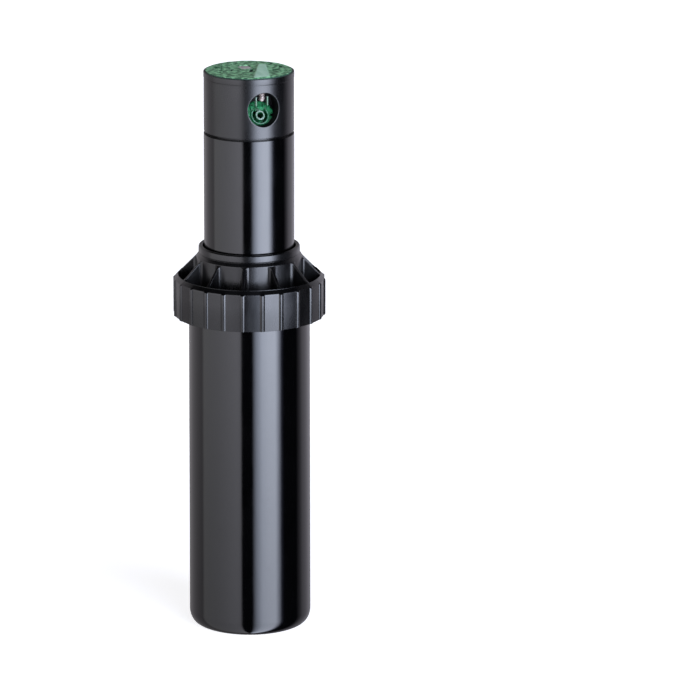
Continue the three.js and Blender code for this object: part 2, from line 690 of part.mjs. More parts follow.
function makeTurret() {
  const outside = turned([
    [0, TURRET_FOOT_Z],
    [TURRET_R - 0.3, TURRET_FOOT_Z],
    [TURRET_R, TURRET_FOOT_Z + 0.3],
    [TURRET_R, TURRET_BAND_Z - 0.15],
    [TURRET_BAND_R, TURRET_BAND_Z],
    [TURRET_BAND_R, TURRET_RIM_Z - 1.1],
    [TURRET_BAND_R - 0.35, TURRET_RIM_Z - 0.3],
    [TURRET_BAND_R - 0.9, TURRET_RIM_Z],
    [COVER_R + 0.5, TURRET_RIM_Z - 0.1],
    [COVER_R + 0.4, TURRET_RECESS_Z],
    [0, TURRET_RECESS_Z],
  ]);
  const ringRecess = ring(STEM_R + 1.5, 19.7, TURRET_FOOT_Z - 2, RECESS_TOP_Z);
  const stemBore = rod(STEM_R + GAP, TURRET_FOOT_Z - 2, STEM_TOP_Z + GAP, 0, 0, ROUND);
  const waterWay = rod(STEM_BORE_R, STEM_TOP_Z - 1, NOZZLE_FACE[2] - 4.2, 0, 0, 20);
  const barrel = alongNozzle(rod(NOZZLE_BODY_R + GAP, -BARREL_DEEP, 2, 0, 0, NOZZLE_SIDES));
  const seat = alongNozzle(rod(NOZZLE_FLANGE_R + GAP, -2.6, 8, 0, 0, NOZZLE_SIDES));
  const windowDepth = TURRET_R + 4 + WINDOW_FLOOR_Y;
  const window = rod(WINDOW_R, 0, windowDepth, 0, 0, ROUND)
    .rotate([90, 0, 0])
    .translate([0, WINDOW_FLOOR_Y, WINDOW_Z]);
  const screwHole = rod(SCREW_R + GAP, WINDOW_Z + 1, TURRET_RECESS_Z + 2, 0, SCREW_Y, SMALL_ROUND);
  const shaftR = ADJUSTER_SHAFT_R + GAP;
  const adjusterHole = rod(shaftR, RECESS_TOP_Z - 1, TURRET_RECESS_Z + 2, ...adjusterAt);
  const pinionRoom = rod(4.6, TURRET_FOOT_Z - 2, RECESS_TOP_Z, ...adjusterAt);
  const pocket = block(PULL_POCKET, [0, PULL_SLOT_Y, TURRET_RECESS_Z - 5]);
  const body = cutBy(outside, [
    ringRecess, stemBore, waterWay, barrel, seat, window, screwHole, adjusterHole, pinionRoom, pocket,
  ]);
  return body.add(turretTab());
}
place('turret_housing', makeTurret(), BLACK_PLASTIC);

function makeCover() {
  const disc = turned([
    [0, TURRET_RECESS_Z + GAP],
    [COVER_R - 0.4, TURRET_RECESS_Z + GAP],
    [COVER_R, TURRET_RECESS_Z + 0.8],
    [COVER_R, COVER_TOP_Z - 1.1],
    [COVER_R - 0.3, COVER_TOP_Z - 0.6],
    [COVER_R - 0.9, COVER_TOP_Z - 0.3],
    [0, COVER_TOP_Z - 0.3],
  ]);
  // The raised pointer is a tongue that widens towards its front end.
  const tongue = [
    [-POINTER_LONG, -POINTER_FRONT],
    [POINTER_FAR, -POINTER_BACK],
    [POINTER_FAR, POINTER_BACK],
    [-POINTER_LONG, POINTER_FRONT],
  ];
  const pointer = plate(tongue, COVER_TOP_Z - 1, COVER_TOP_Z)
    .translate([0, -POINTER_OFFSET, 0])
    .rotate([0, 0, THREE.MathUtils.radToDeg(POINTER_ANGLE)]);
  const keySlot = block(KEY_SLOT, [...adjusterAt, COVER_TOP_Z]);
  const pullSlot = block(PULL_SLOT, [0, PULL_SLOT_Y, COVER_TOP_Z]);
  return cutBy(disc.add(pointer), [keySlot, pullSlot]);
}
place('top_cover', makeCover(), GREEN_RUBBER);

function makeNozzle() {
  const body = alongNozzle(turned([
    [ORIFICE_R, 0.4],
    [ORIFICE_R + 1, 0.4],
    [2.9, -0.5],
    [4, -0.6],
    [4.4, 0.5],
    [NOZZLE_FLANGE_R - 0.5, 0.5],
    [NOZZLE_FLANGE_R, 0],
    [NOZZLE_FLANGE_R, -2.2],
    [NOZZLE_BODY_R, -2.2],
    [NOZZLE_BODY_R, -NOZZLE_DEEP],
    [4.8, -NOZZLE_DEEP],
    [ORIFICE_R, -3],
  ], NOZZLE_SIDES));
  const ear = (side) => block(EAR, [side * EAR_X, EAR_Y, EAR_Z]);
  const shoulder = (side) => block(SHOULDER, [side * (EAR_X + 0.55), EAR_Y + 1, EAR_Z - 2.1]);
  return joined([body, ear(-1), ear(1), shoulder(-1), shoulder(1)]);
}
place('nozzle', makeNozzle(), GREEN_NOZZLE);

function makeRadiusScrew() {
  const core = SCREW_R - GAP;
  const top = TURRET_RECESS_Z - 1.2;
  const profile = [[0, SCREW_TIP_Z]];
  for (let i = 0; i < SCREW_TURNS; i += 1) {
    const z = SCREW_TIP_Z + i * SCREW_PITCH;
    profile.push([core, z]);
    profile.push([SCREW_R, z + SCREW_PITCH / 2]);
  }
  profile.push([core, SCREW_TIP_Z + SCREW_TURNS * SCREW_PITCH + 0.2]);
  profile.push([core, top]);
  profile.push([0, top]);
  const socket = block(SCREW_SOCKET, [0, SCREW_Y, top]);
  return turned(profile, SMALL_ROUND).translate([0, SCREW_Y, 0]).subtract(socket);
}
place('radius_screw', makeRadiusScrew(), STEEL);

// ---- arc setting --------------------------------------------------------------------
function makeArcRing() {
  const outside = ring(RING_BORE_R, RING_R, RING_FOOT_Z, RING_FOOT_Z + RING_THICK);
  const spaces = plate(
    gearOutline(RING_TEETH, RING_MODULE, ADJUSTER_ANGLE, 0.62, 1.05, 0.8),
    RING_FOOT_Z - 1,
    RING_FOOT_Z + RING_THICK + 1,
  );
  const tab = block(RING_TAB, [RING_TAB_AT, 0, TAB_FOOT_Z + RING_TAB[2] / 2])
    .rotate([0, 0, RING_TAB_TURN]);
  return outside.subtract(spaces).add(tab);
}
place('arc_ring', makeArcRing(), WHITE_PLASTIC);

function makeAdjuster() {
  const teeth = plate(
    gearOutline(RING_PINION_TEETH, RING_MODULE, ADJUSTER_ANGLE),
    RING_FOOT_Z + 0.1,
    RING_FOOT_Z + RING_THICK - 0.1,
  );
  const shaft = rod(ADJUSTER_SHAFT_R, RING_FOOT_Z + 1, TURRET_RECESS_Z - GAP, 0, 0, 16);
  const socket = block(ADJUSTER_SOCKET, [0, 0, TURRET_RECESS_Z]);
  return at(teeth.add(shaft).subtract(socket), ...adjusterAt);
}
place('arc_adjuster', makeAdjuster(), WHITE_PLASTIC);

// ---- reversing linkage --------------------------------------------------------------
place('selector_rod', rod(ROD_R, SELECTOR_Z - 0.8, LEVER_Z + LEVER_THICK, 0, ROD_Y), STEEL);
const leverOutline = [[-2, 19.2], [-1.2, 11], [-0.6, 10.2], [0.6, 10.2], [1.2, 11], [2, 19.2]];
const rodBore = rod(ROD_R + GAP, SELECTOR_Z - 5, LEVER_Z + 10, 0, ROD_Y);
const lever = plate(leverOutline, LEVER_Z, LEVER_Z + LEVER_THICK);
place('trip_lever', lever.subtract(rodBore), WHITE_PLASTIC);
const paddleOutline = [[-2.2, 19.2], [-3.4, 11.4], [-3, 10.4], [3, 10.4], [3.4, 11.4], [2.2, 19.2]];
const paddle = plate(paddleOutline, SELECTOR_Z, SELECTOR_Z + LEVER_THICK);
place('port_selector', paddle.subtract(rodBore), WHITE_PLASTIC);

export default group;
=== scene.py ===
import json
import math

import bmesh
import bpy
from mathutils import Matrix, Vector


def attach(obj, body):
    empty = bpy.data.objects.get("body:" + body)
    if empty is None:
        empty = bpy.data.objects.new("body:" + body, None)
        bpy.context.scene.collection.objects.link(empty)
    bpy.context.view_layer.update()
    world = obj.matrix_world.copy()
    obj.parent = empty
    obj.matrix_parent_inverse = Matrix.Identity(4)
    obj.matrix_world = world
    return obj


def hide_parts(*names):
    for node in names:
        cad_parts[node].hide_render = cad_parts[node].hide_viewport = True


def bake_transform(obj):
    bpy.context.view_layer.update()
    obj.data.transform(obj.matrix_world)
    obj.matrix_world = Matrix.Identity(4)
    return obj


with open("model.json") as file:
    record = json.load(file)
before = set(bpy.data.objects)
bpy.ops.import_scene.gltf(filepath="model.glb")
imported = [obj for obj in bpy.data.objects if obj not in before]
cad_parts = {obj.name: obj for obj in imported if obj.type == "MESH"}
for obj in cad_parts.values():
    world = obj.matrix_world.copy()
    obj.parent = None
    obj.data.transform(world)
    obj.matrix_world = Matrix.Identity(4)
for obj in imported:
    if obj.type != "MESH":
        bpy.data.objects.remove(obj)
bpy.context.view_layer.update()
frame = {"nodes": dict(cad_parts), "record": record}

MM = 0.001
TURN = 2 * math.pi

# ---- sizes, in millimetres -----------------------------------------------------------
CASE_R = 30.12
CASE_FOOT_R = 30.46
CASE_TOP_Z = 170.4
CASE_NECK_Z = 160.4
CASE_FLOOR_Z = 3.2
CASE_FOOT_ROUND = 6.5
CASE_FOOT_INSET = 3.8
CAP_TURN = math.radians(4.8)
CAP_R = 37.4
CAP_FOOT_Z = 159.55
RIM_Z = 178.4
RIDGE_LIFT = 0.62
RIDGE_HALF_WIDTH = 1.28
HUB_R = 26.3
BEAD_R = 25.28
SHOULDER_Z = 189.5
BEAD_FOOT_Z = 190.8
HUB_TOP_Z = 195
HUB_BORE_R = 23.1
POCKET_Z = 175.4
CEILING_Z = 173.2
RISER_R = 22.38
RISER_FOOT_Z = 120
FLANGE_Z = 126
RISER_TOP_Z = 251.9
SPRING_TOP_Z = 164.5
TURRET_R = 22.28
BAND_R = 22.42
TURRET_FOOT_Z = 253.3
NECK_FOOT_Z = 251.2  # the turret's thin skirt, inside the riser's mouth
NECK_BORE_R = 19.4
NECK_OUT_R = 19.75
STEM_WAY_R = 8.6
BAND_Z = 280.2
RIM_TOP_Z = 282.95
RECESS_Z = 281.2
COVER_R = 21.58
COVER_Z = 283.5
COVER_EDGE = 0.7  # how far the cover's rounded edge reaches in, and down
WINDOW_R = 8.5
WINDOW_ASPECT = 0.94  # the window is a little narrower than it is high
WINDOW_Z = 267.6
WINDOW_FLOOR_Y = -11.5
NOZZLE_TILT = math.radians(25)
NOZZLE_FACE = Vector((0, -15.6, 263.6))
SCREW_Y = -18.3
SCREW_LOW_Z = 271.4
SCREW_TOP_Z = 280.0
EAR_X = 2.95
EAR_Y = -17.9
EAR_Z = 271.3
EAR_SIZE = (0.62, 1.8, 4.6)
INLET_R = 12.6
INLET_CREST_R = 11.95
INLET_THREAD_PITCH = 1.81
BOSS_TOP_Z = 20
BOSS_R = 15.4
CASE_BORE_R = 27
NECK_R = 32.3
NECK_CREST_R = 33.2
NECK_THREAD_PITCH = 2.6
KEY_RIBS = 4
KEY_RIB_DEPTH = 1.5
KEY_RIB_WIDTH = 2.4
KEY_RIB_MIDDLE_R = 26.7
SKIRT_BORE_R = 34.2
SEAL_R = 26
RISER_BORE_R = 20
RISER_FLANGE_R = 26.4
RISER_SPRING_R = 24.5
RISER_SPRING_TURNS = 10
RISER_WIRE_R = 0.9
BYPASS_SPRING_R = 4.4
BYPASS_SPRING_TURNS = 3
BYPASS_WIRE_R = 0.3
BYPASS_LOW_Z = 162.3
BYPASS_HIGH_Z = 165.4

# ---- camera --------------------------------------------------------------------------
CAMERA_AZIMUTH = math.radians(-20)
CAMERA_ELEVATION = math.radians(15)
CAMERA_DISTANCE = 2.6
SCALE = 0.4989 * MM  # metres seen by one of the 700 columns, at the object
OFF_LEFT = 100.5  # columns that the object stands left of the middle
OFF_UP = 12
CAMERA_ROLL = math.radians(0.15)


def direction(azimuth, elevation):
    flat = math.cos(elevation)
    return Vector((math.sin(azimuth) * flat, -math.cos(azimuth) * flat, math.sin(elevation)))


middle = Vector((0, 0, 0.1466))  # metres, the spot that the camera is placed round
towards_camera = direction(CAMERA_AZIMUTH, CAMERA_ELEVATION)
camera_data = bpy.data.cameras.new("camera")
camera = bpy.data.objects.new("camera", camera_data)
bpy.context.scene.collection.objects.link(camera)
bpy.context.scene.camera = camera
camera_data.sensor_width = 36
camera_data.lens = 36 * CAMERA_DISTANCE / (700 * SCALE)
camera_data.clip_start = 0.05
camera_data.clip_end = 50
camera.location = middle + towards_camera * CAMERA_DISTANCE
right = Vector((math.cos(CAMERA_AZIMUTH), math.sin(CAMERA_AZIMUTH), 0))
up = right.cross(-towards_camera)
aim = middle + right * OFF_LEFT * SCALE - up * OFF_UP * SCALE
camera.rotation_euler = (aim - camera.location).to_track_quat("-Z", "Y").to_euler()
camera.rotation_euler.rotate_axis("Z", CAMERA_ROLL)


# ---- mesh helpers --------------------------------------------------------------------
def make(name, points, faces, body, sharp=40):
    """A mesh piece from points in millimetres that rides on a body, or on none yet."""
    mesh = bpy.data.meshes.new(name)
    mesh.from_pydata([Vector(p) * MM for p in points], [], faces)
    mesh.validate()
    tidy = bmesh.new()
    tidy.from_mesh(mesh)
    bmesh.ops.remove_doubles(tidy, verts=tidy.verts, dist=1e-6)
    bmesh.ops.recalc_face_normals(tidy, faces=tidy.faces)
    tidy.to_mesh(mesh)
    tidy.free()
    mesh.shade_smooth()
    mesh.set_sharp_from_angle(angle=math.radians(sharp))
    piece = bpy.data.objects.new(name, mesh)
    bpy.context.scene.collection.objects.link(piece)
    if body:
        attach(piece, body)
    return piece


def grid_faces(rows, columns, close_rows=False, close_columns=True, first=0):
    """Quads over a grid of points stored row by row."""
    faces = []
    last_row = rows if close_rows else rows - 1
    last_column = columns if close_columns else columns - 1
    for i in range(last_row):
        for j in range(last_column):
            a = first + i * columns + j
            b = first + i * columns + (j + 1) % columns
            c = first + (i + 1) % rows * columns + (j + 1) % columns
            d = first + (i + 1) % rows * columns + j
            faces.append((a, b, c, d))
    return faces


def rounded(profile, radius, steps=4):
    """An outline of (r, z) corners with each corner rounded.

    A third number in a corner is its own radius.
    """
    out = []
    count = len(profile)
    for i, corner in enumerate(profile):
        here = Vector(corner[:2])
        before = Vector(profile[i - 1][:2]) - here
        after = Vector(profile[(i + 1) % count][:2]) - here
        reach = corner[2] if len(corner) > 2 else radius
        reach = min(reach, before.length * 0.45, after.length * 0.45)
        if reach <= 0.005:
            out.append((here.x, here.y))
            continue
        a = here + before.normalized() * reach
        b = here + after.normalized() * reach
        for k in range(steps + 1):
            t = k / steps
            p = a * (1 - t) ** 2 + here * 2 * t * (1 - t) + b * t**2
            out.append((p.x, p.y))
    return out


def held(outline, reach=0.1):
    """The outline with a point just inside each end of its long straight runs.

    The added points keep the shading of those runs true.
    """
    out = []
    for i, (r, z) in enumerate(outline):
        out.append((r, z))
        next_r, next_z = outline[(i + 1) % len(outline)]
        length = math.hypot(next_r - r, next_z - z)
        if length > 12 * reach:
            for t in (reach / length, 1 - reach / length):
                out.append((r + (next_r - r) * t, z + (next_z - z) * t))
    return out


def lathe_mesh(profile, sides=160):
    """Points and faces of a closed (r, z) outline turned round Z."""
    points = []
    profile = held(profile)
    for r, z in profile:
        for j in range(sides):
            angle = TURN * j / sides
            points.append((r * math.cos(angle), r * math.sin(angle), z))
    return points, grid_faces(len(profile), sides, close_rows=True)


def lathe(name, profile, body, sides=160, radius=0.2):
    return make(name, *lathe_mesh(rounded(profile, radius), sides), body)


def add(points, faces, more_points, more_faces):
    start = len(points)
    points.extend(more_points)
    faces.extend(tuple(i + start for i in face) for face in more_faces)


def moved(points, matrix):
    return [tuple(matrix @ Vector(p)) for p in points]


def box_mesh(size, centre, edge=0.12):
    """A box with chamfered edges."""
    shape = bmesh.new()
    bmesh.ops.create_cube(shape, size=1)
    bmesh.ops.scale(shape, vec=size, verts=shape.verts)
    bmesh.ops.bevel(
        shape, geom=list(shape.edges), offset=edge, segments=3, affect="EDGES", profile=0.5
    )
    bmesh.ops.translate(shape, vec=centre, verts=shape.verts)
    shape.verts.ensure_lookup_table()
    points = [tuple(v.co) for v in shape.verts]
    faces = [tuple(v.index for v in f.verts) for f in shape.faces]
    shape.free()
    return points, faces


# ---- materials -----------------------------------------------------------------------
def new_material(name):
    material = bpy.data.materials.new(name)
    material.use_nodes = True
    nodes = material.node_tree.nodes
    return material, nodes, material.node_tree.links, nodes["Principled BSDF"]


def mix_colours(nodes, links, factor, low, high):
    mix = nodes.new("ShaderNodeMix")
    mix.data_type = "RGBA"
    links.new(factor, mix.inputs["Factor"])
    mix.inputs[6].default_value = (*low, 1)
    mix.inputs[7].default_value = (*high, 1)
    return mix.outputs[2]


def noise(nodes, links, scale, detail=3, stretch=(1, 1, 1)):
    place = nodes.new("ShaderNodeTexCoord")
    mapping = nodes.new("ShaderNodeMapping")
    mapping.inputs["Scale"].default_value = stretch
    texture = nodes.new("ShaderNodeTexNoise")
    texture.inputs["Scale"].default_value = scale
    texture.inputs["Detail"].default_value = detail
    texture.inputs["Roughness"].default_value = 0.5
    links.new(place.outputs["Object"], mapping.inputs["Vector"])
    links.new(mapping.outputs["Vector"], texture.inputs["Vector"])
    return texture.outputs["Fac"]


def ramp(nodes, links, value, low, high, out_low, out_high):
    span = nodes.new("ShaderNodeMapRange")
    span.inputs["From Min"].default_value = low
    span.inputs["From Max"].default_value = high
    span.inputs["To Min"].default_value = out_low
    span.inputs["To Max"].default_value = out_high
    links.new(value, span.inputs["Value"])
    return span.outputs["Result"]


def bump(nodes, links, shader, heights):
    """Chain of bumps from (value, strength, distance in metres)."""
    last = None
    for value, strength, distance in heights:
        node = nodes.new("ShaderNodeBump")
        node.inputs["Strength"].default_value = strength
        node.inputs["Distance"].default_value = distance
        links.new(value, node.inputs["Height"])
        if last:
            links.new(last, node.inputs["Normal"])
        last = node.outputs["Normal"]
    links.new(last, shader.inputs["Normal"])


def moulded(name, low, high, rough_low, rough_high, texture=0.35, scuffs=0.0):
    """Injection moulded plastic: slight cloudiness, uneven gloss, fine texture and light scuffs."""
    material, nodes, links, shader = new_material(name)
    cloud = noise(nodes, links, 60, 4)
    gloss = noise(nodes, links, 140, 5, (1, 1, 0.35))
    grain = noise(nodes, links, 4200, 2)
    scratch = noise(nodes, links, 900, 2, (1, 1, 0.05))
    links.new(mix_colours(nodes, links, cloud, low, high), shader.inputs["Base Color"])
    base_rough = ramp(nodes, links, gloss, 0.35, 0.65, rough_low, rough_high)
    mark = ramp(nodes, links, scratch, 0.7, 0.8, 0, scuffs)
    total = nodes.new("ShaderNodeMath")
    total.operation = "ADD"
    links.new(base_rough, total.inputs[0])
    links.new(mark, total.inputs[1])
    links.new(total.outputs[0], shader.inputs["Roughness"])
    shader.inputs["IOR"].default_value = 1.5
    bump(nodes, links, shader, [(grain, texture, 0.00003), (gloss, 0.12, 0.0002)])
    return material


def rubber(name, low, high, rough, cloud_scale=220):
    material, nodes, links, shader = new_material(name)
    cloud = noise(nodes, links, cloud_scale, 5)
    grain = noise(nodes, links, 2600, 3)
    patches = ramp(nodes, links, cloud, 0.36, 0.64, 0, 1)
    links.new(mix_colours(nodes, links, patches, low, high), shader.inputs["Base Color"])
    gloss = ramp(nodes, links, cloud, 0.3, 0.7, rough - 0.08, rough + 0.08)
    links.new(gloss, shader.inputs["Roughness"])
    bump(nodes, links, shader, [(grain, 0.5, 0.00006)])
    return material


def steel(name, shade, rough, stretch=(1, 1, 12)):
    material, nodes, links, shader = new_material(name)
    brush = noise(nodes, links, 900, 4, stretch)
    low = tuple(c * 0.85 for c in shade)
    links.new(mix_colours(nodes, links, brush, low, shade), shader.inputs["Base Color"])
    gloss = ramp(nodes, links, brush, 0.3, 0.7, rough - 0.07, rough + 0.1)
    links.new(gloss, shader.inputs["Roughness"])
    shader.inputs["Metallic"].default_value = 1
    bump(nodes, links, shader, [(brush, 0.15, 0.00002)])
    return material


def set_specular(material, level):
    material.node_tree.nodes["Principled BSDF"].inputs["Specular IOR Level"].default_value = level


BLACK = (0.0002, 0.0002, 0.00025)
BLACK_HIGH = (0.0006, 0.0006, 0.0007)
case_plastic = moulded("case_plastic", BLACK, BLACK_HIGH, 0.06, 0.1, 0.06, 0.12)
riser_plastic = moulded("riser_plastic", BLACK, BLACK_HIGH, 0.1, 0.14, 0.08, 0.12)
turret_plastic = moulded("turret_plastic", BLACK, (0.001, 0.001, 0.0012), 0.25, 0.32, 0.25, 0.1)
cap_plastic = moulded("cap_plastic", BLACK, (0.001, 0.001, 0.0012), 0.22, 0.3, 0.35, 0.08)
# Painted shade: the cap's pockets get a darker black with the specular turned down.
pocket_painted_shade = moulded("pocket_painted_shade", BLACK, (0.0008, 0.0008, 0.001), 0.24, 0.36, 0.5, 0.08)
set_specular(pocket_painted_shade, 0.42)
nozzle_plastic = rubber("nozzle_plastic", (0.001, 0.035, 0.010), (0.011, 0.14, 0.05), 0.45, 420)
set_specular(nozzle_plastic, 0.2)
# Painted highlight: pale rubber for the orifice lip and the ears.
nozzle_painted_highlight = rubber("nozzle_painted_highlight", (0.06, 0.12, 0.075), (0.16, 0.235, 0.19), 0.45, 500)
nozzle_ridge_painted_highlight = rubber("nozzle_ridge_painted_highlight", (0.01, 0.075, 0.035), (0.035, 0.14, 0.075), 0.45, 500)
# Painted shade: the window's inside is black with its specular turned down.
window_painted_shade = moulded("window_painted_shade", BLACK, (0.0012, 0.0012, 0.0014), 0.75, 0.85, 0.2)
set_specular(window_painted_shade, 0.15)
white_plastic = moulded("white_plastic", (0.7, 0.69, 0.64), (0.8, 0.79, 0.74), 0.38, 0.5)
grey_plastic = moulded("grey_plastic", (0.2, 0.22, 0.24), (0.27, 0.29, 0.31), 0.38, 0.5)
# Painted shade: a darker rubber for the cover's rounded edge and the gap under it.
cover_edge_painted_shade = rubber("cover_edge_painted_shade", (0.006, 0.03, 0.018), (0.014, 0.055, 0.034), 0.6)
key_metal = rubber("key_metal", (0.4, 0.39, 0.35), (0.55, 0.53, 0.49), 0.4)
seal_rubber = rubber("seal_rubber", (0.010, 0.010, 0.011), (0.018, 0.018, 0.019), 0.65)
stainless = steel("stainless", (0.66, 0.65, 0.63), 0.22)
screw_steel = rubber("screw_steel", (0.1, 0.08, 0.07), (0.36, 0.3, 0.28), 0.35, 700)
spring_steel = steel("spring_steel", (0.55, 0.56, 0.58), 0.3, (1, 1, 1))


def cover_painted_sheen_and_shade():
    """Green rubber: a painted highlight on the pointer, and dark in the recessed marks, one of
    which is a painted shadow beside the pointer.
    """
    material, nodes, links, shader = new_material("cover_rubber")
    cloud = noise(nodes, links, 420, 5)
    streaks = noise(nodes, links, 260, 4, (1, 0.25, 1))
    flecks = noise(nodes, links, 900, 3)
    grain = noise(nodes, links, 2600, 3)
    patches = ramp(nodes, links, cloud, 0.42, 0.6, 0, 1)
    green = mix_colours(nodes, links, patches, (0.03, 0.14, 0.055), (0.3, 0.66, 0.34))
    # Painted highlight: the pale sheen laid over the pointer.
    pointer_painted_sheen = mix_colours(nodes, links, streaks, (0.2, 0.53, 0.3), (0.76, 1, 0.8))
    for name, colour in (("pointer", pointer_painted_sheen), ("mark", None)):
        mask = nodes.new("ShaderNodeAttribute")
        mask.attribute_name = name
        mix = nodes.new("ShaderNodeMix")
        mix.data_type = "RGBA"
        links.new(mask.outputs["Fac"], mix.inputs["Factor"])
        links.new(green, mix.inputs[6])
        if colour:
            links.new(colour, mix.inputs[7])
        else:
            # The recessed marks are painted near black; the bar beside the pointer is a painted
            # shadow.
            dark = mix_colours(nodes, links, flecks, (0.001, 0.01, 0.004), (0.01, 0.04, 0.02))
            links.new(dark, mix.inputs[7])
        green = mix.outputs[2]
    links.new(green, shader.inputs["Base Color"])
    links.new(ramp(nodes, links, cloud, 0.3, 0.7, 0.42, 0.6), shader.inputs["Roughness"])
    bump(nodes, links, shader, [(grain, 0.5, 0.00006), (cloud, 0.3, 0.0002)])
    return material


def dress(piece, material):
    piece.data.materials.clear()
    piece.data.materials.append(material)
    return piece


# ---- case ----------------------------------------------------------------------------
def helix(radius_root, radius_crest, low, high, pitch, steps=48, inward=False, width=0.42):
    """Points and faces of a raised thread ridge that fades at both ends."""
    turns = (high - low) / pitch
    count = int(turns * steps)
    points = []
    section = [(-0.5, 0), (-0.18, 1), (0.18, 1), (0.5, 0)]
    for i in range(count + 1):
        t = i / count
        angle = TURN * turns * t
        fade = min(1, t * turns * 3, (1 - t) * turns * 3)
        for across, lift in section:
            r = radius_root + (radius_crest - radius_root) * lift * fade
            if lift == 0:
                r = radius_root + (0.15 if inward else -0.15)
            z = low + (high - low) * t + across * pitch * width * 2
            points.append((r * math.cos(angle), r * math.sin(angle), z))
    return points, grid_faces(count + 1, len(section), close_columns=True)


foot_curve = []
for k in range(1, 16):
    angle = math.pi / 2 * k / 16
    inset = CASE_FOOT_INSET * (1 - math.sin(angle))
    foot_curve.append((CASE_FOOT_R - inset, CASE_FOOT_ROUND * (1 - math.cos(angle)), 0))
foot_curve.append((CASE_FOOT_R, CASE_FOOT_ROUND, 0))
case_profile = rounded(
    [
        (INLET_R, 0, 0.5), (CASE_FOOT_R - CASE_FOOT_INSET, 0, 0), *foot_curve,
        (CASE_R, CASE_NECK_Z - 0.4, 0.2), (NECK_R, CASE_NECK_Z, 0.3), (NECK_R, CASE_TOP_Z, 0.4),
        (CASE_BORE_R, CASE_TOP_Z, 0.3), (CASE_BORE_R, CASE_FLOOR_Z, 2.5),
        (BOSS_R + 1.8, CASE_FLOOR_Z, 0.8), (BOSS_R, BOSS_TOP_Z, 0.5), (INLET_R, BOSS_TOP_Z, 0.5),
    ],
    0.3,
    10,
)
points, faces = lathe_mesh(case_profile, 180)
cap_thread = helix(NECK_R, NECK_CREST_R, CASE_NECK_Z + 2, CASE_TOP_Z - 2, NECK_THREAD_PITCH)
add(points, faces, *cap_thread)
pipe_thread = helix(INLET_R, INLET_CREST_R, 2, BOSS_TOP_Z - 3, INLET_THREAD_PITCH, inward=True)
add(points, faces, *pipe_thread)
rib_low = CASE_FLOOR_Z + 2
rib_high = CASE_TOP_Z - 8
for k in range(KEY_RIBS):
    rib_size = (KEY_RIB_DEPTH, KEY_RIB_WIDTH, rib_high - rib_low)
    rib = box_mesh(rib_size, (KEY_RIB_MIDDLE_R, 0, (rib_low + rib_high) / 2), 0.3)
    add(points, faces, moved(rib[0], Matrix.Rotation(TURN * k / KEY_RIBS, 4, "Z")), rib[1])
case = dress(make("case", points, faces, "case"), case_plastic)
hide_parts("body_case")

# ---- cap -----------------------------------------------------------------------------
RIDGES = 24
GUSSETS = 12
GUSSET_WIDTH = 1.35


def smooth_step(low, high, value):
    t = min(max((value - low) / (high - low), 0), 1)
    return t * t * (3 - 2 * t)


def cap_angles():
    """Angles round the cap, close together at each gripping ridge."""
    near = [-1.9, -1.45, -1.28, -1.2, -1.05, -0.85, -0.6, -0.35, -0.12]
    offsets = near + [-s for s in reversed(near)] + [2.8, 4.9, 7.0]
    period = TURN / RIDGES
    angles = []
    for k in range(RIDGES):
        for s in offsets:
            angles.append(k * period + s / CAP_R)
    return angles


def cap_outline(angle, lift):
    """The cap's radius at an angle: nearly flat panels, with a low round swell at each ridge."""
    period = TURN / RIDGES
    from_ridge = (angle + period / 2) % period - period / 2
    flat = CAP_R * math.cos(period / 2) / math.cos(period / 2 - abs(from_ridge))
    panel = (flat + CAP_R) / 2
    away = abs(from_ridge) * CAP_R
    if away >= RIDGE_HALF_WIDTH:
        return panel
    swell_r = (RIDGE_HALF_WIDTH**2 + RIDGE_LIFT**2) / (2 * RIDGE_LIFT)
    return panel + (math.sqrt(swell_r**2 - away**2) - swell_r + RIDGE_LIFT) * lift


stations = []
for z, inset, lift in [
    (CAP_FOOT_Z, 0.5, 0),
    (CAP_FOOT_Z + 0.06, 0.25, 0.4),
    (CAP_FOOT_Z + 0.2, 0.08, 0.85),
    (CAP_FOOT_Z + 0.5, 0, 1),
    (RIM_Z - 6, 0, 1),
    (RIM_Z - 0.9, 0, 1),
    (RIM_Z - 0.55, 0, 0.9),
    (RIM_Z - 0.3, 0.02, 0.5),
    (RIM_Z - 0.1, 0.1, 0.1),
    (RIM_Z + 0.05, 0.25, 0),
]:
    stations.append(("outline", z, inset, lift))
inner_outline = rounded(
    [
        (CAP_R - 1.95, RIM_Z + 1.9, 0.35), (CAP_R - 2.4, POCKET_Z, 1.0), (HUB_R, POCKET_Z, 1.0),
        (HUB_R, SHOULDER_Z, 0.35), (BEAD_R - 0.1, BEAD_FOOT_Z, 0.15),
        (BEAD_R - 0.45, BEAD_FOOT_Z + 0.35, 0.1),
        (BEAD_R - 0.05, BEAD_FOOT_Z + 0.9, 0.5), (BEAD_R - 0.15, HUB_TOP_Z, 2.9),
        (HUB_BORE_R, HUB_TOP_Z, 0.6), (HUB_BORE_R, CEILING_Z, 0.2),
        (SKIRT_BORE_R - 1.6, CEILING_Z, 0.3), (SKIRT_BORE_R, CEILING_Z - 1.4, 0.3),
        (SKIRT_BORE_R, CAP_FOOT_Z, 0.3),
    ],
    0.3,
    6,
)
for r, z in inner_outline:
    stations.append(("ring", z, r, 0))
angles = cap_angles()
points = []
for kind, z, value, lift in stations:
    for angle in angles:
        r = cap_outline(angle, lift) - value if kind == "outline" else value
        turned = angle + CAP_TURN - math.pi / 2
        points.append((r * math.cos(turned), r * math.sin(turned), z))
faces = grid_faces(len(stations), len(angles), close_rows=True)


def fillet(distance, radius):
    if distance >= radius:
        return 0
    return radius - math.sqrt(max(radius**2 - (radius - max(distance, 0)) ** 2, 0))


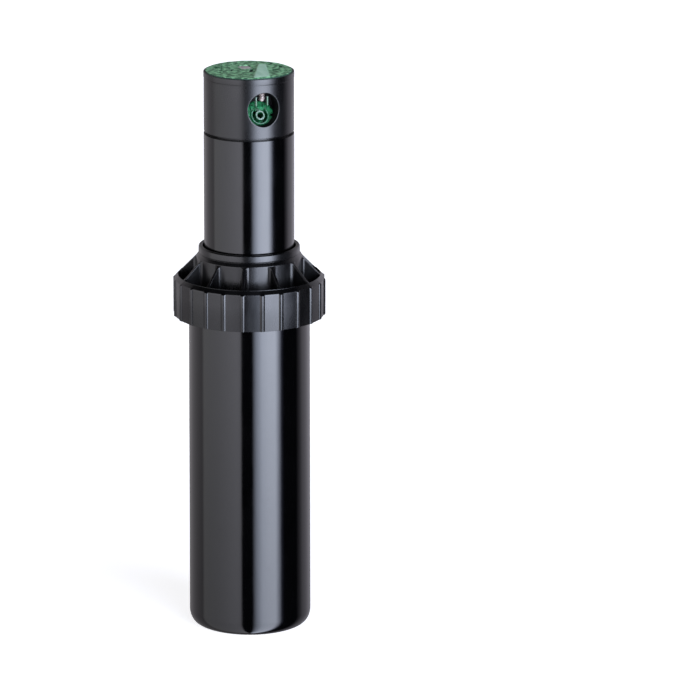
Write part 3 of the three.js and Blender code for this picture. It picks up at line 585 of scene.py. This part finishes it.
def gusset_mesh(across=26, high=22):
    """A thin web from hub to rim, with fillets at its roots and a rounded sloping edge."""
    rim_r = CAP_R - 2.15
    low_end = (CAP_R - 1.9, RIM_Z + 1.75)
    high_end = (HUB_R, SHOULDER_Z - 0.05)
    slope = (high_end[1] - low_end[1]) / (high_end[0] - low_end[0])
    side_points = []
    for i in range(across + 1):
        u = HUB_R - 0.1 + (rim_r - HUB_R + 0.3) * i / across
        top = min(high_end[1] + (u - high_end[0]) * slope, high_end[1])
        column = []
        for j in range(high + 1):
            v = 1 - (1 - j / high) ** 1.6
            z = POCKET_Z - 0.1 + (top - POCKET_Z + 0.1) * v
            half = GUSSET_WIDTH / 2 + fillet(u - HUB_R, 1.5)
            half += fillet(rim_r - u, 0.8) + fillet(z - POCKET_Z, 0.8)
            edge = (top - z) * 0.7
            soft = 0.25
            if edge < soft:
                half -= soft - math.sqrt(max(soft**2 - (soft - edge) ** 2, 0))
            column.append((u, half, z))
        side_points.append(column)
    points = []
    for column in side_points:
        for u, half, z in column:
            points.append((u, half, z))
        for u, half, z in reversed(column):
            points.append((u, -half, z))
    return points, grid_faces(across + 1, 2 * (high + 1), close_columns=True)


web = gusset_mesh()
for k in range(GUSSETS):
    place = Matrix.Rotation(CAP_TURN - math.pi / 2 + TURN * k / GUSSETS, 4, "Z")
    add(points, faces, moved(web[0], place), web[1])
cap = dress(make("cap", points, faces, "case", 35), cap_plastic)
cap.data.materials.append(pocket_painted_shade)
for face in cap.data.polygons:
    x, y, z = face.center / MM
    in_pocket = HUB_R - 0.2 < math.hypot(x, y) < CAP_R - 1.9
    if in_pocket and POCKET_Z - 0.5 < z < SHOULDER_Z - 0.1:
        face.material_index = 1
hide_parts("body_cap")

wiper = lathe(
    "wiper",
    [
        (22.75, CEILING_Z - 2.3, 0.05), (23.7, CEILING_Z - 4.3),
        (SEAL_R, CEILING_Z - 4.3), (SEAL_R, CEILING_Z - 0.3),
        (24.0, CEILING_Z - 0.3), (23.3, CEILING_Z - 1.3),
    ],
    "case",
)
dress(wiper, seal_rubber)
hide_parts("wiper_seal")

# ---- riser ---------------------------------------------------------------------------
riser = lathe(
    "riser",
    [
        (RISER_BORE_R, RISER_FOOT_Z), (RISER_FLANGE_R, RISER_FOOT_Z, 0.6),
        (RISER_FLANGE_R, FLANGE_Z, 0.4), (RISER_R, FLANGE_Z, 0.6),
        (RISER_R, RISER_TOP_Z, 0.15), (RISER_BORE_R, RISER_TOP_Z),
    ],
    "riser",
    180,
    0.3,
)
dress(riser, riser_plastic)
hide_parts("riser_tube")


def coil_mesh(mean_r, wire_r, low, high, turns, steps=40, sides=12):
    """A compression spring with its end turns closed up."""
    points = []
    count = int(turns * steps)
    for i in range(count + 1):
        t = i / count
        turn = t * turns
        angle = TURN * turn
        free = turns - 2
        rise = min(turn, 1) * 2 * wire_r
        rise += min(max(turn - 1, 0), free) * (high - low - 4 * wire_r) / free
        rise += max(turn - 1 - free, 0) * 2 * wire_r
        centre = Vector((mean_r * math.cos(angle), mean_r * math.sin(angle), low + rise))
        outward = Vector((math.cos(angle), math.sin(angle), 0))
        for k in range(sides):
            a = TURN * k / sides
            p = centre + (outward * math.cos(a) + Vector((0, 0, 1)) * math.sin(a)) * wire_r
            points.append(tuple(p))
    faces = grid_faces(count + 1, sides)
    faces.append(tuple(range(sides)))
    faces.append(tuple(reversed(range(count * sides, (count + 1) * sides))))
    return points, faces


spring_low = FLANGE_Z + 1.3
spring_high = SPRING_TOP_Z - RISER_WIRE_R
spring_coil = coil_mesh(RISER_SPRING_R, RISER_WIRE_R, spring_low, spring_high, RISER_SPRING_TURNS)
spring = make("spring", *spring_coil, None, 60)
dress(spring, spring_steel)
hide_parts("retraction_spring")
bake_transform(spring)

# The small spring sits over the bypass disc; in the sprinkler it shortens as the disc lifts, but
# here it is built at one fixed length.
small_coil = coil_mesh(
    BYPASS_SPRING_R, BYPASS_WIRE_R, BYPASS_LOW_Z, BYPASS_HIGH_Z, BYPASS_SPRING_TURNS
)
small_spring = make("small_spring", *small_coil, None, 60)
dress(small_spring, spring_steel)
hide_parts("bypass_spring")
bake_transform(small_spring)

# ---- turret --------------------------------------------------------------------------
PATCH_STEPS = 26
PATCH_HALF_HEIGHT = 10.7  # the wall round the window is meshed apart, this far up and down
PATCH_RINGS = 10
LIP = 0.28  # radius of the window's rounded edge
LIP_STEPS = 5
TURRET_SIDES = 160


def on_turret(x, z):
    return (x, -math.sqrt(TURRET_R**2 - x * x), z)


def turret_mesh():
    """The turret's wall with its round nozzle window, its rim and its inside."""
    step = TURN / TURRET_SIDES
    half = PATCH_STEPS // 2
    reach = half * step
    patch_low = WINDOW_Z - PATCH_HALF_HEIGHT
    patch_high = WINDOW_Z + PATCH_HALF_HEIGHT
    row_step = (patch_high - patch_low) / PATCH_STEPS
    wall_z = [patch_low + row_step * i for i in range(PATCH_STEPS + 1)]
    under = rounded(
        [
            (STEM_WAY_R, TURRET_FOOT_Z + 0.9), (STEM_WAY_R, TURRET_FOOT_Z),
            (NECK_BORE_R, TURRET_FOOT_Z, 0), (NECK_BORE_R, NECK_FOOT_Z, 0),
            (NECK_OUT_R, NECK_FOOT_Z, 0), (NECK_OUT_R, TURRET_FOOT_Z, 0),
            (TURRET_R, TURRET_FOOT_Z, 0.15),
            (TURRET_R, TURRET_FOOT_Z + 0.5, 0), (TURRET_R, TURRET_FOOT_Z + 2.5, 0),
        ],
        0.2,
        4,
    )
    over = rounded(
        [
            (TURRET_R, BAND_Z - 1.2, 0), (TURRET_R, BAND_Z - 0.25, 0.12), (BAND_R, BAND_Z, 0.12),
            (BAND_R, RIM_TOP_Z, 0.45), (COVER_R + 0.25, RIM_TOP_Z, 0.15),
            (COVER_R + 0.2, RECESS_Z, 0.2), (0.01, RECESS_Z, 0),
        ],
        0.2,
        5,
    )
    profile = under + [(TURRET_R, z) for z in wall_z] + over
    points = []
    for r, z in profile:
        for j in range(TURRET_SIDES):
            angle = -math.pi / 2 + step * j
            points.append((r * math.cos(angle), r * math.sin(angle), z))
    first_wall = len(under)
    faces = []
    for face in grid_faces(len(profile), TURRET_SIDES):
        row, column = divmod(face[0], TURRET_SIDES)
        in_rows = first_wall <= row < first_wall + PATCH_STEPS
        offset = column if column < TURRET_SIDES / 2 else column - TURRET_SIDES
        if in_rows and -half <= offset < half:
            continue
        faces.append(face)
    boundary = []
    for i in range(PATCH_STEPS):
        boundary.append((TURRET_R * math.sin(-reach + step * i), patch_low))
    for i in range(PATCH_STEPS):
        boundary.append((TURRET_R * math.sin(reach), wall_z[i]))
    for i in range(PATCH_STEPS):
        boundary.append((TURRET_R * math.sin(reach - step * i), patch_high))
    for i in range(PATCH_STEPS):
        boundary.append((TURRET_R * math.sin(-reach), wall_z[PATCH_STEPS - i]))
    patch = []
    for k in range(PATCH_RINGS + 1):
        t = (k / PATCH_RINGS) ** 0.7
        for x, z in boundary:
            phi = math.atan2(z - WINDOW_Z, x)
            a = (WINDOW_R + LIP) * math.cos(phi) * WINDOW_ASPECT
            b = WINDOW_Z + (WINDOW_R + LIP) * math.sin(phi)
            patch.append(on_turret(x + (a - x) * t, z + (b - z) * t))
    for k in range(1, LIP_STEPS + 1):
        turn_in = k / LIP_STEPS * math.pi / 2
        for x, z in boundary:
            phi = math.atan2(z - WINDOW_Z, x)
            r = WINDOW_R + LIP - LIP * math.sin(turn_in)
            a = r * math.cos(phi) * WINDOW_ASPECT
            edge_y = on_turret((WINDOW_R + LIP) * math.cos(phi) * WINDOW_ASPECT, 0)[1]
            patch.append((a, edge_y + LIP - LIP * math.cos(turn_in), WINDOW_Z + r * math.sin(phi)))
    floor_y = WINDOW_FLOOR_Y
    inside = [(-18.5, 1), (-15, 1), (floor_y - 0.2, 1)]
    inside += [(floor_y, 0.97), (floor_y, 0.6), (floor_y, 0.01)]
    for depth, shrink in inside:
        for x, z in boundary:
            phi = math.atan2(z - WINDOW_Z, x)
            r = WINDOW_R * shrink
            patch.append((r * math.cos(phi) * WINDOW_ASPECT, depth, WINDOW_Z + r * math.sin(phi)))
    rows = len(patch) // len(boundary)
    add(points, faces, patch, grid_faces(rows, len(boundary)))
    return points, faces


turret = make("turret", *turret_mesh(), "turret", 50)
dress(turret, turret_plastic)
turret.data.materials.append(window_painted_shade)
for face in turret.data.polygons:
    x, y, z = face.center / MM
    if math.hypot(x, z - WINDOW_Z) < WINDOW_R + 0.05 and on_turret(x, z)[1] + 0.5 < y < 0:
        face.material_index = 1
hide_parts("turret_housing")

# ---- top cover -----------------------------------------------------------------------
# The pointer is a smooth raised tongue that widens towards the front; its pale colour is a painted
# highlight of the light it reflects.
POINTER_AXIS = Vector((-math.sin(CAMERA_AZIMUTH), math.cos(CAMERA_AZIMUTH)))
POINTER_SIDE = Vector((POINTER_AXIS.y, -POINTER_AXIS.x))
POINTER_OFFSET = 6.5
POINTER_HALF_WIDTH = 2.9
POINTER_TAPER = 0.075
POINTER_REACH = 11.5
POINTER_OUT_R = 20.5
POINTER_HEIGHT = 0.42
DISH_R = 19
DISH_DEPTH = 0.12
MARK_DEPTH = 0.9


def pointer_depth(x, y):
    """How far a spot lies inside the pointer's outline."""
    along = Vector((x, y)) @ POINTER_AXIS
    across = Vector((x, y)) @ POINTER_SIDE - POINTER_OFFSET
    half_width = POINTER_HALF_WIDTH - POINTER_TAPER * along
    return min(half_width - abs(across), POINTER_REACH - along, POINTER_OUT_R - math.hypot(x, y))


def mark_depth(x, y, mark):
    """How far a spot lies inside a mark, which is a straight bar."""
    middle_x, middle_y, half_long, half_wide, turn = mark
    dx = x - middle_x
    dy = y - middle_y
    along = dx * math.cos(turn) + dy * math.sin(turn)
    across = dy * math.cos(turn) - dx * math.sin(turn)
    return min(half_long - abs(along), half_wide - abs(across))


def plus(x, y, size, turn=0.0):
    return [(x, y, size, 0.45, turn), (x, y, size, 0.45, turn + math.pi / 2)]


KEY_SOCKET = (0.3, 6.6, 3.9, 2.9, math.pi / 2)
COVER_MARKS = [  # bars, as middle x and y, half length, half width and turn
    *plus(-12.7, 8.6, 2.6, 0.5),
    *plus(14.6, 9.4, 2.2, 0.9),
    (12.2, -4.6, 2.6, 0.9, 0.5),
    (-8.1, 12.6, 2.6, 0.8, -0.4),
    (-15.6, -3.0, 0.6, 2.2, 0.35),
    (-13.2, 3.4, 2.0, 0.6, 0.9),
    (-3.6, -9.5, 0.5, 2.4, 1.1),
    (-8.2, 2.5, 2.0, 0.7, 1.0),
    (-2.2, 14.8, 2.4, 0.7, 0.1),
    (17.0, 1.2, 2.0, 0.7, 1.2),
    (14.6, -9.0, 1.6, 0.7, 0.2),
    (7.4, 15.5, 2.2, 0.7, -0.4),
    # This bar is a painted shadow beside the pointer's flank, cut in and painted dark.
    (0.6, -1.8, 4.0, 0.8, 1.15),
]


def cover_height(x, y):
    """Height of the rubber top: a slightly dished disc with a raised pointer and moulded marks."""
    r = math.hypot(x, y)
    z = COVER_Z - DISH_DEPTH * smooth_step(0, DISH_R, DISH_R - r)
    z += 0.05 * math.sin(0.9 * x + 1.3) * math.sin(1.1 * y + 0.4)
    z += POINTER_HEIGHT * smooth_step(-0.8, 0.8, pointer_depth(x, y))
    for mark in [KEY_SOCKET, *COVER_MARKS]:
        z -= MARK_DEPTH * smooth_step(-0.12, 0.18, mark_depth(x, y, mark))
    over = max(r - (COVER_R - COVER_EDGE), 0) / COVER_EDGE
    return z - COVER_EDGE * (1 - math.sqrt(max(1 - over**2, 0)))


def cover_mesh(sides=240, rings=100, edge_rings=8):
    points = [(0, 0, cover_height(0, 0))]
    top_r = COVER_R - COVER_EDGE
    radii = [top_r * i / rings for i in range(1, rings + 1)]
    for i in range(1, edge_rings + 1):
        radii.append(top_r + COVER_EDGE * math.sin(math.pi / 2 * i / edge_rings))
    for r in radii:
        for j in range(sides):
            angle = TURN * j / sides
            x = r * math.cos(angle)
            y = r * math.sin(angle)
            points.append((x, y, cover_height(x, y)))
    rim_rows = [
        (COVER_R, COVER_Z - 1.6),
        (COVER_R - 0.1, RECESS_Z + 0.5),
        (COVER_R - 0.4, RECESS_Z + 0.3),
        (0.01, RECESS_Z + 0.3),
    ]
    for r, z in rim_rows:
        for j in range(sides):
            angle = TURN * j / sides
            points.append((r * math.cos(angle), r * math.sin(angle), z))
    faces = [(0, 1 + j, 1 + (j + 1) % sides) for j in range(sides)]
    faces += grid_faces(len(radii) + len(rim_rows), sides, first=1)
    return points, faces


cover = make("cover", *cover_mesh(), "turret", 60)
cover_rubber = cover_painted_sheen_and_shade()
cover.data.materials.append(cover_rubber)
cover.data.materials.append(cover_edge_painted_shade)
# The pointer mask lays a painted highlight over the pointer.
pointer_sheen_mask = cover.data.attributes.new("pointer", "FLOAT", "POINT")
# The mark mask paints the recessed marks dark; one of them is a painted shadow beside the pointer.
mark_dark_and_shadow_mask = cover.data.attributes.new("mark", "FLOAT", "POINT")
for vertex in cover.data.vertices:
    x, y, z = vertex.co / MM
    pointer_sheen_mask.data[vertex.index].value = smooth_step(-0.3, 0.9, pointer_depth(x, y))
    deepest = max(mark_depth(x, y, mark) for mark in COVER_MARKS)
    mark_dark_and_shadow_mask.data[vertex.index].value = smooth_step(-0.35, 0.15, deepest)
# Painted shade: the faces of the cover's rounded edge get the darker rubber.
for face in cover.data.polygons:
    centre = face.center / MM
    if centre.z < COVER_Z - 0.12 and math.hypot(centre.x, centre.y) > COVER_R - COVER_EDGE * 0.8:
        face.material_index = 1
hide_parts("top_cover")
key_centre = (KEY_SOCKET[0], KEY_SOCKET[1], COVER_Z - 0.75)
key = make("key_socket", *box_mesh((5.4, 7.4, 1.0), key_centre, 0.3), "turret")
dress(key, key_metal)

# ---- nozzle --------------------------------------------------------------------------
FLANGE_R = 7.9
NOTCH_R = 5.4  # the flange has a notch on its left and one on its right, cut in to here
NOTCH_HALF = 0.8
to_nozzle = Matrix.Translation(NOZZLE_FACE) @ Matrix.Rotation(math.pi / 2 - NOZZLE_TILT, 4, "X")
nozzle_profile = rounded(
    [
        (1.6, 0.8, 0.15), (2.4, 0.8, 0.3), (2.5, -3.5, 0.3), (3.75, -3.5, 0.3),
        (3.9, 0.5, 0.2), (4.5, 0.5, 0.3), (4.8, -0.4, 0.2), (FLANGE_R - 0.8, -0.6, 0.3),
        (FLANGE_R, -1.2, 0.3), (FLANGE_R, -2.0, 0.2), (5.0, -2.2, 0.1), (4.9, -9, 0.3),
        (4.0, -9, 0.3), (1.4, -5, 0.2),
    ],
    0.2,
    4,
)
points, faces = [], []
ring_points, ring_faces = lathe_mesh(nozzle_profile, 96)
for i, (x, y, z) in enumerate(ring_points):
    r = math.hypot(x, y)
    if abs(y) < NOTCH_HALF and r > NOTCH_R and z > -2.4:
        ring_points[i] = (x * NOTCH_R / r, y * NOTCH_R / r, z)
add(points, faces, moved(ring_points, to_nozzle), ring_faces)
bridge = box_mesh((4.6, 2.1, 2.4), (0, 3.3, -0.75), 0.35)
add(points, faces, moved(bridge[0], to_nozzle), bridge[1])
for side in (-1, 1):
    shoulder = box_mesh((2.4, 2.6, 2.6), (side * 3.2, 3.9, -1.1), 0.5)
    add(points, faces, moved(shoulder[0], to_nozzle), shoulder[1])
nozzle = make("nozzle", points, faces, "turret")
dress(nozzle, nozzle_plastic)
nozzle.data.materials.append(nozzle_painted_highlight)
nozzle.data.materials.append(nozzle_ridge_painted_highlight)
# Painted highlight: the orifice lip's faces get the pale rubber.
for face in nozzle.data.polygons:
    spot = to_nozzle.inverted() @ (face.center / MM)
    r = math.hypot(spot.x, spot.y)
    if spot.z > 0.62 and r < 2.6:
        face.material_index = 1
    # Painted highlight: the lower arc of the ring round the orifice gets a brighter green.
    if spot.z > 0.2 and 3.8 < r < 4.6 and spot.y < 2.5:
        face.material_index = 2
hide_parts("nozzle")
# The ears are pale boxes: painted highlights on the edges of the fins beside the screw.
points, faces = [], []
for side in (-1, 1):
    add(points, faces, *box_mesh(EAR_SIZE, (side * EAR_X, EAR_Y, EAR_Z), 0.2))
ears = make("nozzle_ears", points, faces, "turret")
dress(ears, nozzle_painted_highlight)

# ---- radius screw --------------------------------------------------------------------
def screw_mesh():
    """Headless screw with a key socket in its top end."""
    core = rounded(
        [
            (0.001, SCREW_LOW_Z, 0), (0.8, SCREW_LOW_Z, 0.1), (1.1, SCREW_LOW_Z + 0.4, 0.1),
            (1.1, SCREW_TOP_Z, 0.2), (0.5, SCREW_TOP_Z, 0.1), (0.4, SCREW_TOP_Z - 1.5, 0),
            (0.001, SCREW_TOP_Z - 1.5, 0),
        ],
        0.1,
        3,
    )
    points, faces = lathe_mesh(core, 32)
    add(points, faces, *helix(1.05, 1.42, SCREW_LOW_Z + 0.5, SCREW_TOP_Z - 0.7, 1.1, 32, width=0.4))
    shift = Matrix.Translation((0, SCREW_Y, 0))
    return moved(points, shift), faces


screw = make("radius_screw_visual", *screw_mesh(), "screw", 35)
dress(screw, screw_steel)
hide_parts("radius_screw")

# ---- the CAD nodes that stay ---------------------------------------------------------
looks = {
    "case_plastic": case_plastic, "cap_plastic": cap_plastic, "riser_plastic": riser_plastic,
    "turret_plastic": turret_plastic, "nozzle_plastic": nozzle_plastic,
    "cover_rubber": cover_rubber, "seal_rubber": seal_rubber, "spring_steel": spring_steel,
    "steel": stainless, "white_plastic": white_plastic, "grey_plastic": grey_plastic,
}
slots = {entry["node"]: entry["material_slot"] for entry in frame["record"]["subparts"]}
for node, piece in frame["nodes"].items():
    dress(piece, looks[slots[node]])

# ---- floor and light -----------------------------------------------------------------
FLOOR_HALF = 6  # metres
FLOOR_DROP = 0.0004  # metres between the part's underside and the floor
floor_mesh = bpy.data.meshes.new("floor")
corners = [(x * FLOOR_HALF, y * FLOOR_HALF, 0) for x, y in ((-1, -1), (1, -1), (1, 1), (-1, 1))]
floor_mesh.from_pydata(corners, [], [(0, 1, 2, 3)])
floor = bpy.data.objects.new("floor", floor_mesh)
bpy.context.scene.collection.objects.link(floor)
floor.location.z = -FLOOR_DROP
floor_material, nodes, links, shader = new_material("floor")
shader.inputs["Base Color"].default_value = (0.8, 0.8, 0.8, 1)
shader.inputs["Roughness"].default_value = 0.9
shader.inputs["Specular IOR Level"].default_value = 0
shader.inputs["Emission Color"].default_value = (1, 1, 1, 1)
shader.inputs["Emission Strength"].default_value = 0.75
floor_mesh.materials.append(floor_material)
floor.visible_glossy = False
floor.visible_shadow = False

# The studio: soft panels all round a dark room.
STUDIO = [  # degrees from the camera's side, red, green, blue
    (-180, 0.22, 0.21, 0.22), (-150, 0.5, 0.48, 0.51), (-103, 0.5, 0.48, 0.52),
    (-97, 1.1, 1.1, 1.15), (-60, 1.6, 1.6, 1.75), (-24, 2.15, 2.15, 2.4),
    (-18, 2.0, 2.0, 2.25), (-14, 0, 0, 0), (5, 0, 0, 0),
    (13, 3.6, 4.0, 5.0), (24, 7.2, 7.9, 9.6), (36, 8.3, 9.0, 10.8), (50, 8.3, 9.0, 10.8),
    (56, 4.6, 5.0, 6.2), (63, 0.3, 0.32, 0.5), (68, 0, 0, 0), (100, 0, 0, 0),
    (110, 0.25, 0.24, 0.28), (120, 0.6, 0.58, 0.66),
    (150, 0.68, 0.66, 0.75), (180, 0.22, 0.21, 0.22),
]
# Heights are on a sphere of radius one round the part.
LIGHT_TOP = 0.42  # the panels fade out from here
LIGHT_GONE = 0.62
TOP_LEFT_OVER = 0.02
LIGHT_LOW = (-0.31, -0.235)  # between these the panels go from one strength to the other
LOW_STRENGTH = (0.68, 1.2)

world = bpy.data.worlds.new("studio")
bpy.context.scene.world = world
world.use_nodes = True
nodes = world.node_tree.nodes
links = world.node_tree.links
nodes.clear()
output = nodes.new("ShaderNodeOutputWorld")
backdrop = nodes.new("ShaderNodeBackground")
room = nodes.new("ShaderNodeBackground")
choose = nodes.new("ShaderNodeMixShader")
path = nodes.new("ShaderNodeLightPath")
backdrop.inputs["Color"].default_value = (1, 1, 1, 1)
backdrop.inputs["Strength"].default_value = 1.1


def maths(operation, *values):
    node = nodes.new("ShaderNodeMath")
    node.operation = operation
    for socket, value in zip(node.inputs, values):
        if isinstance(value, (int, float)):
            socket.default_value = value
        else:
            links.new(value, socket)
    return node.outputs[0]


def dot(vector, other):
    node = nodes.new("ShaderNodeVectorMath")
    node.operation = "DOT_PRODUCT"
    node.inputs[1].default_value = other
    links.new(vector, node.inputs[0])
    return node.outputs["Value"]


sky = nodes.new("ShaderNodeTexCoord").outputs["Generated"]
ahead = dot(sky, direction(CAMERA_AZIMUTH, 0))
aside = dot(sky, right)
around = maths("ADD", maths("DIVIDE", maths("ARCTAN2", aside, ahead), TURN), 0.5)
panels = nodes.new("ShaderNodeValToRGB")
brightest = max(max(stop[1:]) for stop in STUDIO)
stops = panels.color_ramp.elements
stops.remove(stops[1])
for number, (degrees, *colour) in enumerate(STUDIO):
    stop = stops.new(degrees / 360 + 0.5) if number else stops[0]
    stop.color = (*(c / brightest for c in colour), 1)
links.new(around, panels.inputs[0])
height = dot(sky, (0, 0, 1))
faintest = brightest * TOP_LEFT_OVER
top_fade = ramp(nodes, links, height, LIGHT_TOP, LIGHT_GONE, brightest, faintest)
low_fade = ramp(nodes, links, height, *LIGHT_LOW, *LOW_STRENGTH)
shade = maths("MULTIPLY", top_fade, low_fade)
links.new(panels.outputs[0], room.inputs["Color"])
links.new(shade, room.inputs["Strength"])
links.new(path.outputs["Is Camera Ray"], choose.inputs[0])
links.new(room.outputs[0], choose.inputs[1])
links.new(backdrop.outputs[0], choose.inputs[2])
links.new(choose.outputs[0], output.inputs["Surface"])

bpy.context.scene.view_settings.view_transform = "Standard"
bpy.context.scene.view_settings.look = "None"
